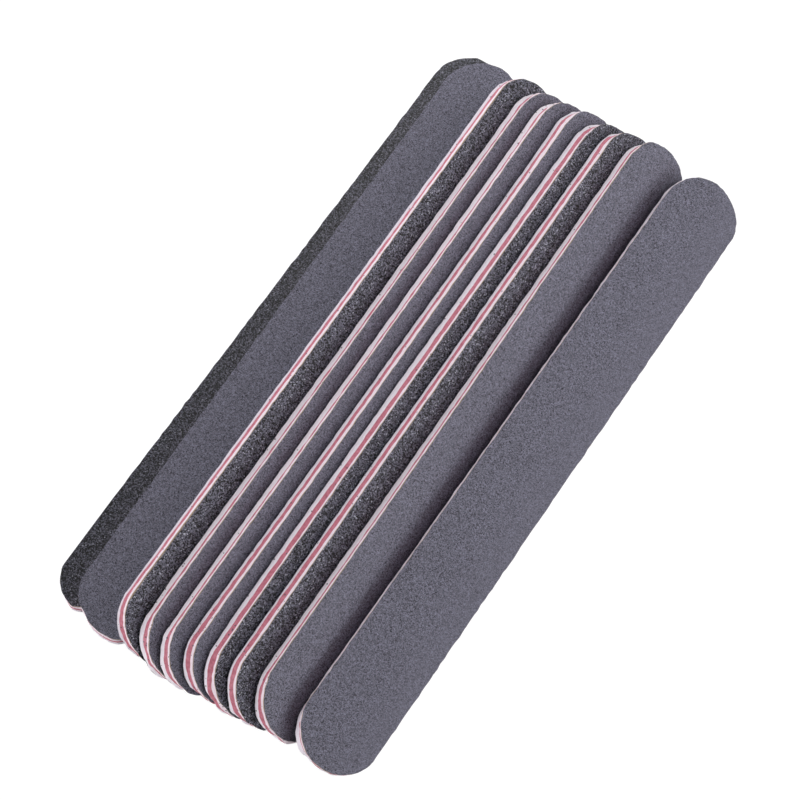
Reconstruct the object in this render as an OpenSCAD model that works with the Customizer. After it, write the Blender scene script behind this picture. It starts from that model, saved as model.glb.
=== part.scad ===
// Ten cushioned emery boards, lying as a fanned stack on a table.
//
// Every board is a sandwich of five strips cut to one outline: an abrasive sheet, a soft
// foam cushion, a stiff coloured core, a second cushion and a second abrasive sheet.
// One sheet is fine and the other coarse, and some boards lie with the coarse one up.
//
// Board 1 lies flat on the table and board 2 flat on it, a little to the right. Boards 3
// to 9 stand in a leaning row, like books that have slipped: each has its right edge
// down and its underside on the face of the board before it, and board 3 leans on the
// edge of board 2. Board 10 lies at a lower angle from the face of board 9 to the table.
//
// The origin is the middle of the underside of board 1. +Z is up, +X points to the
// right across the stack, and +Y points along the boards, away from the viewer.

/* [Board] */
// Length of a board over its round ends
board_l = 178; // [120:1:220]
// Width of a board between its straight edges
board_w = 20; // [14:0.5:28]
// How much shallower each round end is than a half circle
end_flat = 0.3; // [0:0.1:3]

/* [Layers] */
// Thickness of an abrasive sheet, its paper and grit together
sheet_t = 0.4; // [0.2:0.05:0.8]
// Thickness of a foam cushion
foam_t = 1.2; // [0.6:0.05:2.4]
// Thickness of the stiff core strip
core_t = 1.0; // [0.4:0.05:2]

/* [How the boards lie] */
// Gap left between the faces of two boards that lie on each other
lay_gap = 0.15; // [0.05:0.05:0.5]
// How far board 2 lies to the right of board 1
second_shift = 5.9; // [0:0.1:10]
// Lean of the row, from flat on the table
row_lean = 47; // [38:1:60]
// Lean of the last board, from flat on the table
last_lean = 24; // [12:1:32]

/* [Hidden] */
// Smoothness of the round ends
$fn = 64;

// Numbers of the boards, from the lowest to the one on top
boards = [1:10];
// How each board lies: flat, in the leaning row, or last, across from the row to the table
lie = ["flat", "flat", "row", "row", "row", "row", "row", "row", "row", "last"];

// How far each board lies forward of board 1 along its length
forward = [0, 2.4, 2.8, 3.6, 3.7, 3.0, 3.1, 2.3, 1.0, 1.7];
// Turn of each board in its own plane, in degrees
turn = [-0.5, 0.4, 0, 0, 0.15, 0, 0, -0.1, 0, -0.7];
// How far each board is pushed up along its slope from where its edge would meet the table
pushed_up = [0, 0, 1.9, 0.7, 0.7, 0.7, 1.1, 1.0, 0, 0];
// Whether each board lies with the coarse side up
coarse_up = [true, false, true, false, false, false, true, true, false, false];

// Thickness of a whole board
board_t = 2 * sheet_t + 2 * foam_t + core_t;
// Height of the round end, and the radius of its arc through the two corners
end_h = board_w / 2 - end_flat;
end_r = (pow(end_h, 2) + pow(board_w / 2, 2)) / (2 * end_h);

// The five strips of a board, from the bottom up, with their thicknesses
STRIPS = ["under_sheet", "under_foam", "core", "upper_foam", "upper_sheet"];
strip_t = [sheet_t, foam_t, core_t, foam_t, sheet_t];
strip_z = [for (k = [0:4]) total([for (j = [0:k]) j < k ? strip_t[j] : 0])];

function strip_name(b, strip) = str("board_", b, "_", strip);

// Sum of a list
function total(list, k = 0) = k < len(list) ? list[k] + total(list, k + 1) : 0;

// Reach of board b from its middle to its outermost corner, square to the row
function reach(b) = board_w / 2 * cos(turn[b - 1]) + (board_l / 2 - end_h) * abs(sin(turn[b - 1]));

// Lean of board b
function lean(b) = lie[b - 1] == "flat" ? 0 : lie[b - 1] == "row" ? row_lean : last_lean;

// Position along X and Z of the point that lies u to the right along the slope of board
// b and h above its underside, from a point p on that underside
function along(p, b, u, h = 0) = [
    p.x + u * cos(lean(b)) + h * sin(lean(b)),
    p.y - u * sin(lean(b)) + h * cos(lean(b))
];

// Underside of board b in the row, as its distance from the origin along the row's normal.
// The first of the row clears the top right edge of board 2 by the laying gap.
row_start = sin(row_lean) * (second_shift + reach(2)) + cos(row_lean) * (2 * board_t + lay_gap) + lay_gap;
function row_offset(b) = row_start + row_before(b) * (board_t + lay_gap);

// How many boards of the row lie before board b
function row_before(b) = len([for (k = boards) if (k < b && lie[k - 1] == "row") k]);

// Middle of the underside of a board in the row: up its slope from the table line
function row_middle(b) = along([row_offset(b) / sin(row_lean), 0], b, -reach(b) - pushed_up[b - 1]);

// Middle of the underside of the last board. Its right edge is on the table, and its
// left edge clears the face of the last board in the row by the laying gap.
function last_middle(b) =
    let (left_z = 2 * reach(b) * sin(last_lean))
    let (left_x = (row_offset(b) - left_z * cos(row_lean)) / sin(row_lean))
    along([left_x, left_z], b, reach(b));

// Middle of the underside of any board, as its X and Z
function middle(b) =
    b == 1 ? [0, 0] :
    b == 2 ? [second_shift, board_t + lay_gap] :
    lie[b - 1] == "row" ? row_middle(b) : last_middle(b);

// Outline of a board: straight sides, and at each end a shallow arc between the corners
module outline() {
    straight_l = board_l - 2 * end_h;
    square([board_w, straight_l], center = true);
    intersection() {
        square([board_w, board_l], center = true);
        for (side = [-1, 1])
            translate([0, side * (board_l / 2 - end_r)])
                circle(r = end_r);
    }
}

// Strip k of a board, counted from the bottom
module strip(k) {
    translate([0, 0, strip_z[k]])
        linear_extrude(height = strip_t[k])
            outline();
}

// Puts what follows where board b lies
module place(b) {
    translate([middle(b).x, -forward[b - 1], middle(b).y])
        rotate([0, lean(b), 0])
            rotate([0, 0, turn[b - 1]])
                children();
}

// An abrasive sheet, fine or coarse
module sheet(k, coarse) {
    color(coarse ? "#4d4a53" : "#6b6877") strip(k);
}

// The abrasive sheet on the underside
module under_sheet(b) {
    place(b) sheet(0, !coarse_up[b - 1]);
}

// The cushion below the core
module under_foam(b) {
    color("#ece2f0") place(b) strip(1);
}

// The stiff strip in the middle
module core(b) {
    color("#bd727e") place(b) strip(2);
}

// The cushion above the core
module upper_foam(b) {
    color("#ece2f0") place(b) strip(3);
}

// The abrasive sheet on the top
module upper_sheet(b) {
    place(b) sheet(4, coarse_up[b - 1]);
}

for (b = boards) {
    under_sheet(b);
    under_foam(b);
    core(b);
    upper_foam(b);
    upper_sheet(b);
}
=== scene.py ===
# %% [markdown]
# # Ten cushioned emery boards
#
# This lesson builds the looks of a fanned stack of ten emery boards. Each board is a
# sandwich of five strips: a gritty sheet, white foam, a stiff rose core, white foam and
# a second gritty sheet. One sheet is fine and the other coarse.
#
# The CAD model already says how long each strip is and how each board lies. The frame
# is loaded first, and its box is kept, because the finished boards are held inside it.

# %% Load the frame
import math

import bpy
from mathutils import Matrix, Vector, noise


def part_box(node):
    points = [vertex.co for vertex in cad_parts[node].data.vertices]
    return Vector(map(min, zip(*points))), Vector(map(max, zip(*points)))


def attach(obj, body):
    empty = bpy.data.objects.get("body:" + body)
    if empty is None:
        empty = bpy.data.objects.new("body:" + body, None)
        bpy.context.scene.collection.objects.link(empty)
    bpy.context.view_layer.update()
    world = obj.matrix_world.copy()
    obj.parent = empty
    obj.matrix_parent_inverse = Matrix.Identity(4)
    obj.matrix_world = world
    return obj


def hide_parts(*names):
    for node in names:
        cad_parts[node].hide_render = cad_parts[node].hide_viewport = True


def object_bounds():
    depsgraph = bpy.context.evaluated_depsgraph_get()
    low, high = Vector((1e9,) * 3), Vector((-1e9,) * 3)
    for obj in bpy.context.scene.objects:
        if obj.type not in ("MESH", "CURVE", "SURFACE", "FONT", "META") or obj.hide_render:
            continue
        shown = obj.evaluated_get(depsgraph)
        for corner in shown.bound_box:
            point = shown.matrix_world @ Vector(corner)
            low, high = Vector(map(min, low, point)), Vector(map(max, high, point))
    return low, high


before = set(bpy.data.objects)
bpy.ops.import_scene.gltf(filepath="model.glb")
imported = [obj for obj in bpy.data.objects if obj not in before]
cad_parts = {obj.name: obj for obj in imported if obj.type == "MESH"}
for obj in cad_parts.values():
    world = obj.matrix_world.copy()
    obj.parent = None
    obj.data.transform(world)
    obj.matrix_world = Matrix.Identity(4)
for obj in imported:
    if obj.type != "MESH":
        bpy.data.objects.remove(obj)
cad_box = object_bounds()
bpy.ops.object.select_all(action="DESELECT")
print("CAD box in mm:", [round(1000 * (high - low), 1) for low, high in zip(*cad_box)])

# %% [markdown]
# ## The camera
#
# The picture is taken from high above, a little to the right, with a long lens: the
# long edges of the boards stay almost parallel. A view without any perspective would
# be simpler, but the near ends do look a little larger. So a lens of about 105 mm is
# used, and its place and turn come from fitting the edges of all ten boards.

# %% Place the camera
bpy.ops.object.camera_add(
    location=(0.17514, -0.18849, 0.52680),
    rotation=[math.radians(angle) for angle in (23.970, 1.898, 33.145)],
)
camera = bpy.context.object
camera.name = "long_lens"
camera.data.sensor_width = 36
camera.data.lens = 105.68
bpy.context.scene.camera = camera
backwards = camera.matrix_world.to_3x3().col[2]
steepness = 90 - math.degrees(backwards.angle(Vector((0, 0, 1))))
print("camera looks down at", round(steepness, 1), "degrees")

# %% [markdown]
# ## Sizes of a board
#
# Paper, foam and core come from the maker in set thicknesses. They could be typed in
# again, but board 1 lies flat, so the boxes of its strips give the heights between
# the layers, and they stay right when the CAD changes.

# %% Read the layers
MM = 0.001
NUMBERS = range(1, 11)
STRIPS = ["under_sheet", "under_foam", "core", "upper_foam", "upper_sheet"]

heights = [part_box(f"board_1_{strip}")[0].z for strip in STRIPS]
heights.append(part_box("board_1_upper_sheet")[1].z)
print("layer heights in mm:", [round(height / MM, 2) for height in heights])

# %% [markdown]
# ## How a board lies
#
# Each board has its own three directions: across it, along it and up from its face.
# They could be typed in as angles. It is safer to read them from the CAD core, whose
# largest faces are the two flat ones and whose next largest are the straight sides.


# %% Read how each board lies
def lie_of(number):
    """The place of a board: a matrix whose columns are across, along, up and middle."""
    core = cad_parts[f"board_{number}_core"].data
    faces = sorted(core.polygons, key=lambda face: -face.area)
    up = next(face.normal.copy() for face in faces if face.normal.z > 0.5)
    sides = [face for face in faces if abs(face.normal.dot(up)) < 0.01]
    across = next(face.normal.copy() for face in sides if face.normal.x > 0)
    along = up.cross(across)
    reach = [[point.co.dot(way) for point in core.vertices] for way in (across, along, up)]
    middle = across * (min(reach[0]) + max(reach[0])) / 2
    middle += along * (min(reach[1]) + max(reach[1])) / 2
    middle += up * (min(reach[2]) - heights[2])
    size = [max(r) - min(r) for r in reach]
    lie = Matrix([across, along, up]).transposed().to_4x4()
    lie.translation = middle
    return lie, size


lies = {}
for number in NUMBERS:
    lies[number], core_size = lie_of(number)
    lean = math.degrees(math.acos(min(1, lies[number].col[2].z)))
    sizes = [round(size / MM, 2) for size in core_size]
    print(f"board {number}: leans {lean:.1f} degrees, core {sizes} mm")
BOARD_W, BOARD_L = core_size[0], core_size[1]

# %% [markdown]
# ## The outline of a board
#
# The real boards are slit from a wide sheet and then rounded at both ends by a punch.
# The outline could be a stretched circle. Here an arc is kept from a whole circle by a
# cut across it, as the CAD has it, turned round for the other end, and the two arcs are
# joined by the long sides. The sides get a point every half millimetre, so that a cut
# that wanders can be shown later.

# %% Draw the outline
END_H = 9.7 * MM
ARC_STEPS = 96
SIDE_STEP = 0.5 * MM
NEAR_ENOUGH = 0.01 * MM


def pick_points(chosen):
    """Selects the points of the mesh in edit mode that the test chooses."""
    bpy.ops.mesh.select_mode(type="VERT")
    bpy.ops.mesh.select_all(action="DESELECT")
    bpy.ops.object.mode_set(mode="OBJECT")
    for point in bpy.context.object.data.vertices:
        point.select = bool(chosen(point.co))
    bpy.ops.object.mode_set(mode="EDIT")


def draw_outline(name):
    """A new mesh in edit mode with the closed outline of a board at height zero."""
    half_w = BOARD_W / 2
    end_r = (END_H**2 + half_w**2) / (2 * END_H)
    corner_y = BOARD_L / 2 - END_H
    bpy.ops.mesh.primitive_circle_add(
        vertices=ARC_STEPS, radius=end_r, location=(0, BOARD_L / 2 - end_r, 0)
    )
    bpy.ops.object.transform_apply(location=True)
    strip = bpy.context.object
    strip.name = strip.data.name = name
    bpy.ops.object.mode_set(mode="EDIT")
    bpy.ops.mesh.bisect(plane_co=(0, corner_y, 0), plane_no=(0, 1, 0), clear_inner=True)
    bpy.ops.mesh.select_all(action="SELECT")
    bpy.ops.mesh.duplicate()
    bpy.ops.transform.rotate(value=math.pi, orient_axis="Z", center_override=(0, 0, 0))
    for side in (-1, 1):
        side_x = side * half_w
        pick_points(
            lambda at: abs(at.x - side_x) < NEAR_ENOUGH and abs(at.y) < corner_y + NEAR_ENOUGH
        )
        bpy.ops.mesh.edge_face_add()
        bpy.ops.mesh.subdivide(number_cuts=round(2 * corner_y / SIDE_STEP) - 1)
    bpy.ops.mesh.select_all(action="SELECT")
    bpy.ops.mesh.remove_doubles(threshold=NEAR_ENOUGH / 10)
    bpy.ops.mesh.edge_face_add()
    return strip


# %% [markdown]
# ## Four patterns for the strips
#
# A strip is the outline pulled up through a few heights. A plain slab would have its
# shape, but not its cut face. The heights between let the foam swell a little, let the
# core keep a tight rim, and mark on a sheet where the paper ends and the grit begins.
# The paper takes a larger share of the edge on the upper sheet than on the under
# sheet, so the under sheet's edge is mostly dark grit: partly its own grit and partly
# painted shade at the foot of each wall. Each pattern is modelled once and copied.


# %% Raise a strip through its heights
def raise_strip(name, rises):
    """A closed strip that stands on height zero and has a ring of points at each rise."""
    strip = draw_outline(name)
    last = 0
    for rise in rises:
        bpy.ops.mesh.extrude_region_move(TRANSFORM_OT_translate={"value": (0, 0, rise - last)})
        last = rise
    bpy.ops.mesh.select_all(action="SELECT")
    bpy.ops.mesh.normals_make_consistent(inside=False)
    bpy.ops.object.mode_set(mode="OBJECT")
    strip.select_set(False)
    print(name, len(strip.data.vertices), "points,", len(strip.data.polygons), "faces")
    return strip


sheet_t = heights[1] - heights[0]
foam_t = heights[2] - heights[1]
core_t = heights[3] - heights[2]

# The share of a sheet's thickness that is paper
# The under sheet's paper is kept thin so that its edge reads as a dark line, painted shade at the
# foot of each wall
PAPER_SHARE = {"upper_sheet": 0.75, "under_sheet": 0.3}
# The thickness of each kind of strip, and its rises as shares of that thickness
RISES = {
    "upper_sheet": (sheet_t, (PAPER_SHARE["upper_sheet"], 0.85, 1)),
    "under_sheet": (sheet_t, (PAPER_SHARE["under_sheet"], 0.85, 1)),
    "foam": (foam_t, (0.08, 0.3, 0.7, 0.92, 1)),
    "core": (core_t, (0.06, 0.5, 0.94, 1)),
}
patterns = {
    kind: raise_strip(f"{kind}_pattern", [share * thickness for share in shares])
    for kind, (thickness, shares) in RISES.items()
}

# %% [markdown]
# ## Where the cut wanders
#
# No two boards are cut alike. The knife leans in on some and out on others, and the
# punch takes a little more from the corners. One slanted cut for all would be simpler,
# but the bands of foam and core would then be equally wide on every board, and they
# aren't. The tables say how far the cut face of each board stands back from the true
# outline, in hundredths of a millimetre, at four heights: the foot of the under foam,
# the two sides of the core and the top of the upper foam. Below zero the face stands
# out. A row follows the left edge from the tip near the viewer to the far tip. The
# numbers come from comparing where the edges lie in the picture and in a render of
# these boards, so they are fitted to that one view.

# %% Write down the cuts
# Places round the left edge in mm: 0 is the near tip and 190 the far tip, and the
# places beyond them lie to the right of the tips
WAY = [
    -10, -5, -2.5, 0, 2.5, 5, 9, 13, 16, 25, 60,
    95, 130, 165, 172, 177, 181, 185, 190, 195, 200,
]

CUTS = {
    1: (
        [
            40, 40, 107, 82, -50, -48, -70, -45, -40, -24, -10,
            0, 0, -2, -10, -22, -21, -25, -116, -40, -20,
        ],
    ) * 4,
    2: (
        [-60, -122, -71, -25, 15, 69, 0, 0, 0, 0, 0, 0, 0, 0, 0, -15, -25, -40, -64, -54, -30],
        [-60, -122, -65, -14, 19, 64, 16, 0, 0, 0, 0, 0, 0, 0, 0, -15, -25, -40, -64, -54, -30],
        [-60, -122, -65, -14, 16, 59, 16, 0, 0, 0, 0, 0, 0, 0, 0, -15, -25, -40, -64, -54, -30],
        [-60, -122, -65, -14, 16, 59, 16, 0, 0, 0, 0, 0, 0, 0, 0, -15, -25, -40, -64, -54, -30],
    ),
    3: (
        [10, 25, 9, 21, 38, -7, -4, -5, -12, -4, 0, 10, 5, -10, -23, -2, 38, 39, 40, 0, 0],
        [10, -64, 25, 42, 23, 22, -13, -25, -33, -19, -15, -8, 6, -3, -23, 10, -2, 39, 40, 0, 0],
        [10, -15, 18, 42, 49, 52, 28, -6, -33, -22, -4, 2, 1, -14, -4, -14, -2, 39, 40, 0, 0],
        [10, 15, -47, 24, 28, 34, 1, -24, -38, -45, -15, -8, -14, -25, -35, -31, -2, 39, 40, 0, 0],
    ),
    4: (
        [10, 5, -31, -27, 29, 26, -12, 6, 15, -9, 7, 13, 3, -7, -11, -41, -31, -16, 10, 0, 0],
        [10, -45, -11, 48, 12, 56, 19, 31, 32, 24, 49, 47, 49, 31, 31, 25, -23, -16, 10, 0, 0],
        [10, -20, -15, 56, 33, 58, 63, 64, 29, 7, 22, 32, 21, 2, 2, 13, -69, -16, 10, 0, 0],
        [10, -52, -6, 31, 38, 31, 44, 38, -6, -20, -10, -8, -16, -29, -26, -26, -40, -16, 10, 0, 0],
    ),
    5: (
        [10, 68, -3, -5, -23, -21, 7, -3, 19, -6, 8, 14, 3, -15, -27, -46, -44, -32, 5, 0, 0],
        [10, 48, 39, 36, 19, 12, 30, 12, 25, 21, 45, 52, 41, 20, 12, -3, -11, -32, 5, 0, 0],
        [10, 51, 30, 32, 34, 50, 64, 29, 13, 4, 15, 27, 14, -6, -4, -10, -72, -32, 5, 0, 0],
        [
            10, -11, -12, 31, 39, 37, 33, 9, -22, -35, -16,
            -11, -15, -37, -20, -41, -62, -32, 5, 0, 0,
        ],
    ),
    6: (
        [10, 45, 64, 170, 30, 11, 3, -2, -26, -26, -3, -9, -10, -25, -42, -72, -90, -36, -19, 0, 0],
        [10, 2, 36, 63, 32, 31, -4, -38, -40, -35, -4, -2, -3, -19, -27, -54, -71, -36, -19, 0, 0],
        [10, 13, 55, 61, 60, 61, 54, 26, 5, -3, 16, 13, 7, -18, -24, -49, -99, -36, -19, 0, 0],
        [10, 63, 27, 39, 60, 61, 44, 16, -16, -16, 5, 13, 6, -10, -18, -29, -101, -36, -19, 0, 0],
    ),
    7: (
        [10, 16, 9, 45, 126, 31, 32, 26, -6, -39, -45, -52, -40, -34, -26, -10, -15, -4, -7, 0, 0],
        [10, -4, 29, 17, 50, 3, 39, 22, 4, -9, -17, -3, -3, 5, 7, 20, 16, -4, -7, 0, 0],
        [10, -1, 26, 37, 80, 60, 102, 106, 68, 47, 43, 39, 38, 49, 49, 56, 0, -4, -7, 0, 0],
        [10, -16, 15, 85, 85, 93, 88, 77, 31, 3, 12, 15, 18, 18, 17, 25, -24, -4, -7, 0, 0],
    ),
    8: (
        [-10, 11, -15, 63, -36, 24, 44, 26, 16, 9, -2, 10, 0, -13, -6, -22, -21, 35, 28, 0, 0],
        [-10, -9, 15, 10, -11, 17, 16, 2, -13, -20, -20, -3, -10, -16, -8, -43, 40, 35, 28, 0, 0],
        [-10, -6, 22, 35, 40, 62, 60, 63, 25, 27, 24, 17, 5, 14, 13, 1, -18, 35, 28, 0, 0],
        [-10, -28, 11, -6, 29, 34, 52, 32, 7, 15, 7, -2, 8, -4, 19, -16, -44, 35, 28, 0, 0],
    ),
    9: (
        [-40, -85, -7, 16, -3, -14, 41, 38, 12, 14, 28, 33, 17, 14, 11, -3, 10, 26, 47, 34, 25],
        [-40, -105, 11, -19, -9, 7, 29, 37, 29, 30, 59, 57, 43, 33, 36, 20, 27, 26, 47, 34, 25],
        [-40, -102, 15, 8, 20, 57, 45, 35, 11, 2, 26, 30, 11, 7, 6, 14, -7, 26, 47, 34, 25],
        [
            -40, -2, -22, 16, 13, 39, 26, 15, -45, -37, -16,
            -13, -24, -39, -35, -22, -65, 26, 47, 34, 25,
        ],
    ),
    10: (
        [-8, -6, 26, 48, 48, -27, -17, 2, -4, -10, -1, 1, -6, -12, -12, -20, -54, -19, 1, 25, 5],
        [-8, -4, 11, 15, 62, 29, 40, 25, 0, -13, 0, 0, 0, 0, 5, 10, -10, -19, 1, 25, 5],
        [-8, -1, 15, 20, 45, 14, 28, 3, -34, -43, -34, -34, -34, -34, -22, -7, -10, -19, 1, 25, 5],
        [-8, -8, -10, 5, 0, 2, 15, -17, -61, -38, -37, -35, -35, -34, -43, -1, -10, -19, 1, 25, 5],
    ),
}
for rows in CUTS.values():
    assert all(len(row) == len(WAY) for row in rows)
print("cut tables for", len(CUTS), "boards,", len(WAY), "places each")

# %% [markdown]
# ## Cutting a strip to its table
#
# A point of a strip is moved along the flat, towards the middle of the board, by what
# the table gives for its place on the edge and its height. Two waves of unevenness are
# added, a slow one and a quick one, because the soft foam gives way under the knife.
# The straight right edge is hidden in the picture and isn't in the tables: it keeps
# the outline and gets the unevenness alone.
#
# The tables may ask for more than the CAD box allows, and then the box wins. That
# flattens the far tip of board 1, where the table asks for 1.2 mm too much. It also
# trims the upper edge of board 3 by 0.4 mm at most, and the near tips of boards 4 and
# 5 by 0.2 and 0.1 mm.

# %% Move the points of a strip to the cut
CORNER_Y = BOARD_L / 2 - END_H
ARC = BOARD_W / 2 / MM
FAR_TIP = ARC * math.pi + 2 * CORNER_Y / MM
HUNDREDTH = 0.01 * MM
UNEVEN = 0.14 * MM
# Of each wave: its share of the unevenness, its length in mm, its steps from board to
# board and from side to side, which keep them from looking alike, and its rate upwards
SLOW_WAVE = (0.5, 6, 7.3, 50, 0.8)
QUICK_WAVE = (1.3, 1.3, 3.1, 20, 1.1)


def between(values, place, keys):
    """The value of a table at a place between its keys."""
    for key_a, key_b, a, b in zip(keys, keys[1:], values, values[1:]):
        if place <= key_b:
            return a + (b - a) * max(0, (place - key_a) / (key_b - key_a))
    return values[-1]


def edge_place(at):
    """How far round the left edge a point is, in mm from the near tip, and the way inwards."""
    past_corner = max(abs(at.y) - CORNER_Y, 0)
    far = 1 if at.y > 0 else -1
    turned = math.atan2(past_corner, -at.x)
    inwards = Vector((math.cos(turned), -far * math.sin(turned), 0))
    if past_corner == 0:
        return (ARC * math.pi / 2 + (at.y + CORNER_Y) / MM), inwards
    if far < 0:
        return ARC * (math.pi / 2 - turned), inwards
    return FAR_TIP - ARC * (math.pi / 2 - turned), inwards


def wave(place, height, sides, share, length, per_board, per_side, upwards):
    """One wave of unevenness at a place and height, for a board's number and side."""
    number, left = sides
    sideways = number * per_board + (per_side if left else 0)
    return share * noise.noise(Vector((place / length, sideways, height / MM * upwards)))


def stand_back(number, place, left, height):
    """How far the cut stands back from the outline at a height of the board."""
    keys = [-ARC * math.pi / 2] + WAY + [FAR_TIP + ARC * math.pi / 2]
    levels = heights[1:5]
    depths = [between([0] + row + [0], place, keys) for row in CUTS[number]]
    depth = between(depths, height, levels)
    if not left:
        depth = 0
    sides = (number, left)
    waves = wave(place, height, sides, *SLOW_WAVE) + wave(place, height, sides, *QUICK_WAVE)
    return depth * HUNDREDTH + UNEVEN * waves


TOUCHING = 0.001


def cut_strip(strip, number, base, swell, rim, tuck):
    """Moves every edge point of a strip, which stands at the height base on its board."""
    top = max(point.co.z for point in strip.data.vertices)
    for point in strip.data.vertices:
        at = point.co
        place, inwards = edge_place(at)
        left = at.x < 0 or abs(at.y) > CORNER_Y
        depth = tuck + stand_back(number, place, left, base + at.z)
        share = at.z / top
        depth -= swell * math.sin(math.pi * share)
        if share > 1 - TOUCHING:
            depth += rim[1]
        if share < TOUCHING:
            depth += rim[0]
        point.co = at + inwards * depth


def keep_inside(strip):
    """Holds a laid strip back at the CAD box, whatever its table asks for."""
    for point in strip.data.vertices:
        point.co = [min(max(value, low), high) for value, low, high in zip(point.co, *cad_box)]


# %% [markdown]
# ## Lay all the boards
#
# The boards are all of one kind, and some lie with the coarse side up. Each strip is a
# copy of its pattern with its own mesh. It is cut to its table, its points are taken
# to where its board lies, and it stands for the plain CAD strip. The object itself
# stays at the origin, unturned.
#
# The foam swells a little between its faces. The rims of the sheets and the core are
# drawn in, so that a fine line parts the layers. The under sheet stands back a little,
# as the picture hardly shows its dark edge.

# %% Copy, cut and lay the strips
KIND = {
    "under_sheet": "under_sheet",
    "under_foam": "foam",
    "core": "core",
    "upper_foam": "foam",
    "upper_sheet": "upper_sheet",
}
# How far a kind swells, how far its foot and top are drawn in, and how far it is tucked in
CUT_FACE = {
    "under_sheet": (0, (0.05 * MM, 0), 0.12 * MM),
    "foam": (0.03 * MM, (0, 0), 0),
    "core": (0, (0.03 * MM, 0.03 * MM), 0),
    "upper_sheet": (0, (0, 0.05 * MM), 0),
}
COARSE_UP = [1, 3, 7, 8]

strips = {}
for number in NUMBERS:
    for base, strip in zip(heights, STRIPS):
        pattern = patterns[KIND[strip]]
        piece = pattern.copy()
        piece.data = pattern.data.copy()
        piece.name = piece.data.name = f"{strip}_of_board_{number}"
        bpy.context.collection.objects.link(piece)
        if strip == "under_sheet":  # its grit looks down
            piece.data.transform(Matrix.Diagonal((1, 1, -1, 1)))
            piece.data.transform(Matrix.Translation((0, 0, sheet_t)))
            piece.data.flip_normals()
        cut_strip(piece, number, base, *CUT_FACE[KIND[strip]])
        piece.data.transform(lies[number] @ Matrix.Translation((0, 0, base)))
        keep_inside(piece)
        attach(piece, f"board_{number}")
        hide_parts(f"board_{number}_{strip}")
        strips[number, strip] = piece
for pattern in patterns.values():
    bpy.data.objects.remove(pattern)
print(len(strips), "strips are laid")

# %% [markdown]
# ## Finishes
#
# None of the layers is polished or clear, so one plain shader does for all, and what
# differs is colour, roughness and relief. The patterns could be painted, but worked
# out from the place of each point they are sharp at any distance. A small helper
# starts each material, so that the recipes below can stay short.


# %% Start a material
def start_finish(name, roughness):
    """A new material: its nodes, a way to add one, its shader and the object's place."""
    finish = bpy.data.materials.new(name)
    finish.use_nodes = True
    nodes, links = finish.node_tree.nodes, finish.node_tree.links
    shader = nodes["Principled BSDF"]
    shader.inputs["Roughness"].default_value = roughness
    place = nodes.new("ShaderNodeTexCoord").outputs["Object"]

    def add(kind, inputs=(), **settings):
        node = nodes.new("ShaderNode" + kind)
        for key, value in settings.items():
            setattr(node, key, value)
        for key, value in dict(inputs).items():
            if isinstance(value, bpy.types.NodeSocket):
                links.new(value, node.inputs[key])
            else:
                node.inputs[key].default_value = value
        return node

    return finish, add, shader, place, links


def colour(red, green, blue):
    """A colour as it reads on the screen, from 0 to 255, as the shader wants it."""
    shares = [value / 255 for value in (red, green, blue)]
    straight_to = 10 / 255
    return [
        ((share + 0.055) / 1.055) ** 2.4 if share > straight_to else share / 12.92
        for share in shares
    ] + [1]


# %% [markdown]
# ## Grit
#
# Grit is grains of hard mineral in a coat of glue. On the fine side they blend into a
# violet grey with a little grain. On the coarse side each grain is a quarter of a
# millimetre, most are dark or grey, and about one in ten catches the light. That glint
# is a painted highlight in the grain's colour, and the fine side has a fainter one on
# about one grain in twenty. Grains as meshes would be millions of faces, so each grain
# is a cell of a pattern, with its colour by chance and a little relief.
#
# In the picture the grain looks softer on the two boards that lie lowest. So between
# nine and five millimetres above the table the contrast and the relief fade to a
# share, kept_low, and the shade goes towards one even value, even_shade.


# %% Make the two grits
def make_grit(
    name, grain, clouded, edges, dark, light, glint, glint_from,
    roughness, relief, kept_low, even_shade,
):
    """Grit whose grains are cells of a given size in metres, with colours by chance."""
    finish, add, shader, place, links = start_finish(name, roughness)
    height = add("SeparateXYZ", {"Vector": place})
    crisp = add("MapRange", {
        "Value": height.outputs["Z"],
        "From Min": 5 * MM,
        "From Max": 9 * MM,
        "To Min": kept_low,
        "To Max": 1.0,
    })
    cells = add("TexVoronoi", {"Vector": place, "Scale": 1 / grain, "Randomness": 1.0})
    chance = add("SeparateColor", {"Color": cells.outputs["Color"]})
    cloud = add(
        "TexNoise", {"Vector": place, "Scale": 0.35 / grain, "Detail": 2, "Roughness": 0.6}
    )
    mixed = add(
        "Mix",
        {"Factor": clouded, "A": chance.outputs["Red"], "B": cloud.outputs["Fac"]},
        data_type="FLOAT",
    )
    evened = add(
        "Mix",
        {"Factor": crisp.outputs["Result"], "A": even_shade, "B": mixed.outputs["Result"]},
        data_type="FLOAT",
    )
    ramp = add("ValToRGB", {"Fac": evened.outputs["Result"]})
    ramp.color_ramp.elements[0].position = edges[0]
    ramp.color_ramp.elements[0].color = colour(*dark)
    ramp.color_ramp.elements[1].position = edges[1]
    ramp.color_ramp.elements[1].color = colour(*light)
    # Painted highlight: the cells past the threshold get a bright colour that stands in for grains
    # catching the light
    painted_glint = add(
        "MapRange", {"Value": chance.outputs["Green"], "From Min": glint_from, "From Max": 1.0}
    )
    kept = add(
        "Math", {0: painted_glint.outputs["Result"], 1: crisp.outputs["Result"]}, operation="MULTIPLY"
    )
    shown = add(
        "Mix",
        {"Factor": kept.outputs[0], "A": ramp.outputs["Color"], "B": colour(*glint)},
        data_type="RGBA",
    )
    links.new(shown.outputs["Result"], shader.inputs["Base Color"])
    far = add("Math", {0: 1.0, 1: cells.outputs["Distance"]}, operation="SUBTRACT")
    rough = add(
        "Bump",
        {"Height": far.outputs[0], "Strength": crisp.outputs["Result"], "Distance": relief},
    )
    links.new(rough.outputs["Normal"], shader.inputs["Normal"])
    return finish


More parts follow.
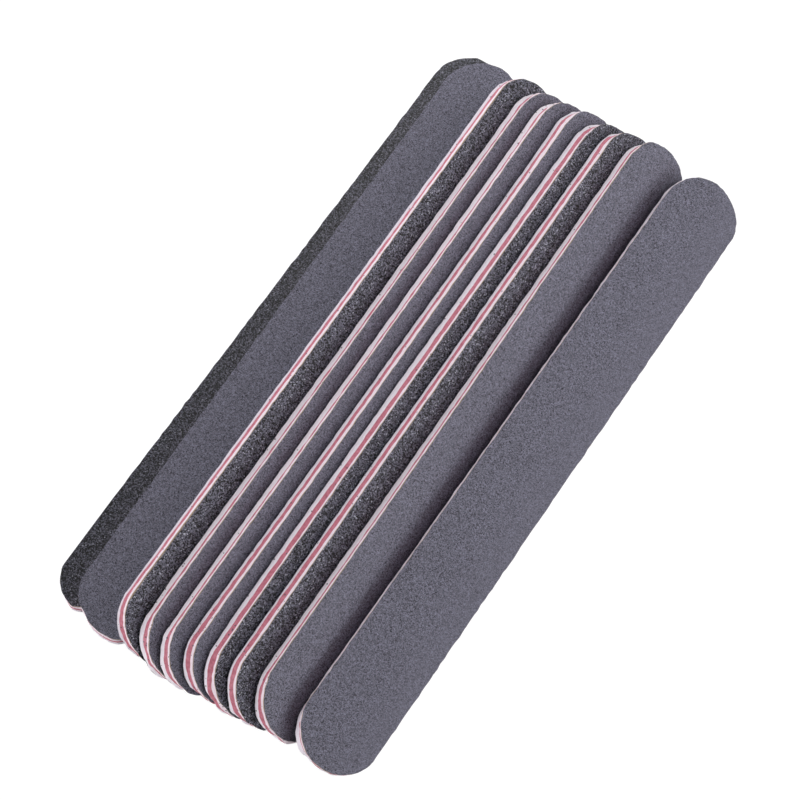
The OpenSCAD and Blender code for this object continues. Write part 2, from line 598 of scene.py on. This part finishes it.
fine_grit = make_grit(
    "fine_grit",
    grain=0.16 * MM,
    clouded=0.5,
    edges=(0.22, 0.78),
    dark=(19, 18, 24),
    light=(144, 142, 161),
    glint=(149, 148, 167),
    glint_from=0.95,
    roughness=0.75,
    relief=0.03 * MM,
    kept_low=0.6,
    even_shade=0.56,
)
coarse_grit = make_grit(
    "coarse_grit",
    grain=0.25 * MM,
    clouded=0.2,
    edges=(0.42, 0.66),
    dark=(2, 3, 6),
    light=(117, 117, 133),
    glint=(206, 207, 222),
    glint_from=0.91,
    roughness=0.5,
    relief=0.15 * MM,
    kept_low=0.36,
    even_shade=0.42,
)
print("two grits")

# %% [markdown]
# ## Paper, foam and core
#
# The paper under the grit is thin and tan, and shows only as a line. The foam is white
# with a breath of lavender and full of tiny cells. The core is a rose-red plastic. Dust
# from the cut sticks to both as dark specks. Dust from the cut sticks to both, four times as often
# at the near ends, as the picture seems to show. Towards the near ends the specks grow four times
# as dense, which makes the near ends darker. The cells of the foam are too small to model, so a
# fine noise gives the shade and the relief.
#
# Four foam tones are used: two for most boards, a greyer one under board 3 as painted
# shade, and a brighter one under boards 4, 5 and 9 as painted light. The slanted walls
# of those three boards take less light from the lamps, and the wall of board 3 takes more.


# %% Make paper, foam and core
# Dark specks on foam and core, four times as dense towards the near ends, which makes the near ends
# darker
SPECK_COLOUR = colour(90, 80, 90)
SPECK_APART = 0.9 * MM
SPECK_REACH = 0.23
DENSE_SPECKS_TO, SPARSE_SPECKS_FROM = -86 * MM, -70 * MM
NEAR_END_SPECKS = 4


def make_layer(name, shade, spread, grain, roughness, relief, specks):
    """A cut layer: a shade with a little spread, fine unevenness and dark specks."""
    finish, add, shader, place, links = start_finish(name, roughness)
    cloud = add("TexNoise", {"Vector": place, "Scale": 1 / grain, "Detail": 3, "Roughness": 0.6})
    ramp = add("ValToRGB", {"Fac": cloud.outputs["Fac"]})
    ramp.color_ramp.elements[0].position = 0.3
    ramp.color_ramp.elements[0].color = colour(*[c - spread for c in shade])
    ramp.color_ramp.elements[1].position = 0.7
    ramp.color_ramp.elements[1].color = colour(*[min(255, c + spread) for c in shade])
    speck_cells = add("TexVoronoi", {"Vector": place, "Scale": 1 / SPECK_APART})
    chance = add("SeparateColor", {"Color": speck_cells.outputs["Color"]})
    near = add("Math", {0: speck_cells.outputs["Distance"], 1: SPECK_REACH}, operation="LESS_THAN")
    along = add("SeparateXYZ", {"Vector": place})
    # The specks grow denser towards the near ends, darkening them
    speck_density = add("MapRange", {
        "Value": along.outputs["Y"],
        "From Min": DENSE_SPECKS_TO,
        "From Max": SPARSE_SPECKS_FROM,
        "To Min": 1 - NEAR_END_SPECKS * specks,
        "To Max": 1 - specks,
    })
    some = add(
        "Math", {0: chance.outputs["Red"], 1: speck_density.outputs["Result"]}, operation="GREATER_THAN"
    )
    both = add("Math", {0: near.outputs[0], 1: some.outputs[0]}, operation="MULTIPLY")
    shown = add(
        "Mix",
        {"Factor": both.outputs[0], "A": ramp.outputs["Color"], "B": SPECK_COLOUR},
        data_type="RGBA",
    )
    links.new(shown.outputs["Result"], shader.inputs["Base Color"])
    rough = add("Bump", {"Height": cloud.outputs["Fac"], "Strength": 1.0, "Distance": relief})
    links.new(rough.outputs["Normal"], shader.inputs["Normal"])
    return finish


FOAM = {"grain": 0.4 * MM, "roughness": 0.9, "relief": 0.03 * MM, "specks": 0.07}
paper = make_layer(
    "tan_paper", (160, 140, 118), 10, grain=0.5 * MM, roughness=0.85, relief=0.02 * MM, specks=0.0
)
lower_foam = make_layer("lower_foam", (246, 237, 247), 6, **FOAM)
upper_foam = make_layer("upper_foam", (246, 229, 239), 6, **FOAM)
# A greyer foam is painted shade for board 3, and a brighter one is painted light for boards 4, 5
# and 9
painted_shade_foam = make_layer("painted_shade_foam", (228, 218, 229), 6, **FOAM)
painted_light_foam = make_layer("painted_light_foam", (255, 245, 255), 2, **FOAM)
rose_core = make_layer(
    "rose_core", (204, 118, 136), 16, grain=0.7 * MM, roughness=0.6, relief=0.01 * MM, specks=0.07
)
print("paper, foam and core")

# %% [markdown]
# ## Give the strips their finishes
#
# A sheet has two finishes: paper where it meets the foam and grit on the other side.
# They could be two pieces, but on the real board the grit is glued on the paper, so
# the faces near the foam simply get the paper.

# %% Assign the finishes
# Painted shade under board 3, painted light under boards 4, 5 and 9
UNDER_FOAM = {3: painted_shade_foam, 4: painted_light_foam, 5: painted_light_foam, 9: painted_light_foam}
# Faces nearer to the foam than this share of the paper's thickness are paper
PAPER_REACH = 0.9

for (number, strip), piece in strips.items():
    piece.data.materials.clear()
    coarse = (strip == "upper_sheet") == (number in COARSE_UP)
    if strip in PAPER_SHARE:
        piece.data.materials.append(coarse_grit if coarse else fine_grit)
        piece.data.materials.append(paper)
        up = lies[number].col[2].to_3d()
        meets_foam = heights[4] if strip == "upper_sheet" else heights[1]
        inner = lies[number].translation + up * meets_foam
        paper_t = PAPER_SHARE[strip] * sheet_t
        for face in piece.data.polygons:
            away = abs((face.center - inner).dot(up))
            face.material_index = 1 if away < PAPER_REACH * paper_t else 0
    else:
        under = UNDER_FOAM.get(number, lower_foam)
        layers = {"under_foam": under, "core": rose_core, "upper_foam": upper_foam}
        piece.data.materials.append(layers[strip])
print("all strips are finished")

# %% [markdown]
# ## The floor
#
# The boards lie on plain white. More light would make the floor white, but it would
# also bleach the boards. So the floor glows for the camera alone, and a small share of
# its own lit colour is left in, which keeps a faint shadow.

# %% Lay the floor
SHADOW_SHARE = 0.15
bpy.ops.mesh.primitive_plane_add(size=4, location=(0, 0, -0.05 * MM))
floor = bpy.context.object
floor.name = "floor"
white, add, shader, _, links = start_finish("white_floor", 0.9)
shader.inputs["Base Color"].default_value = (0.85, 0.85, 0.85, 1)
glow = add("Emission", {"Color": (1, 1, 1, 1), "Strength": 1.12})
path = add("LightPath")
seen = add("Math", {0: path.outputs["Is Camera Ray"], 1: 1 - SHADOW_SHARE}, operation="MULTIPLY")
both = add("MixShader", {0: seen.outputs[0], 1: shader.outputs[0], 2: glow.outputs[0]})
links.new(both.outputs[0], white.node_tree.nodes["Material Output"].inputs["Surface"])
floor.data.materials.append(white)
print("the floor is", round(floor.dimensions.x), "m wide")

# %% [markdown]
# ## The lamps
#
# The picture has the even light of a table with soft boxes around it. One big lamp
# would leave the gaps black or the faces flat. So soft lamps stand on several sides,
# and their strengths were worked out so that the faces, walls and gaps come out about
# as bright as in the picture. The strongest are on the right and near left.


# %% Hang the lamps
def soft_lamp(name, azimuth, elevation, distance, size, power, aim):
    """A square soft lamp. Azimuth 0 is on the right of the stack and 90 beyond its far end."""
    a, e = math.radians(azimuth), math.radians(elevation)
    way = Vector((math.cos(a) * math.cos(e), math.sin(a) * math.cos(e), math.sin(e)))
    bpy.ops.object.light_add(type="AREA", location=Vector(aim) + way * distance)
    lamp = bpy.context.object
    lamp.name = name
    lamp.rotation_euler = way.to_track_quat("Z", "Y").to_euler()
    lamp.data.size = size
    lamp.data.energy = power
    return lamp


MIDDLE = (0.035, 0, 0)
FAR_LEFT_END = (-0.01, 0.08, 0)
# Name, azimuth, elevation, distance in m, size in m, power in W, aim
LAMPS = [
    ("right", 0, 12, 0.9, 0.6, 4.45, MIDDLE),
    ("right_high", 0, 35, 0.9, 0.6, 0.40, MIDDLE),
    ("right_far", 30, 12, 0.9, 0.4, 0.85, MIDDLE),
    ("far_right", 45, 30, 0.9, 0.6, 2.76, MIDDLE),
    ("near_left", 225, 30, 0.9, 0.6, 4.80, MIDDLE),
    ("near_low", 240, 10, 0.9, 0.6, 1.60, MIDDLE),
    ("far_left", 135, 30, 0.35, 0.25, 0.48, MIDDLE),
    ("far_corner", 135, 60, 0.25, 0.2, 0.09, FAR_LEFT_END),
]
for lamp in LAMPS:
    soft_lamp(*lamp)
print(len(LAMPS), "lamps,", round(sum(lamp[5] for lamp in LAMPS), 2), "W in all")

# %% [markdown]
# ## Behind the floor
#
# Seen from low down, the view passes over the edge of the floor. The world is white
# there for the camera alone and gives no light, so the lamps stay in charge.

# %% Whiten the world
world = bpy.context.scene.world or bpy.data.worlds.new("surroundings")
bpy.context.scene.world = world
world.use_nodes = True
backdrop = world.node_tree.nodes["Background"]
backdrop.inputs["Color"].default_value = (0.96, 0.96, 0.96, 1)
world_path = world.node_tree.nodes.new("ShaderNodeLightPath")
world.node_tree.links.new(world_path.outputs["Is Camera Ray"], backdrop.inputs["Strength"])
bpy.context.scene.view_settings.view_transform = "Standard"
print("the world is white to the camera")
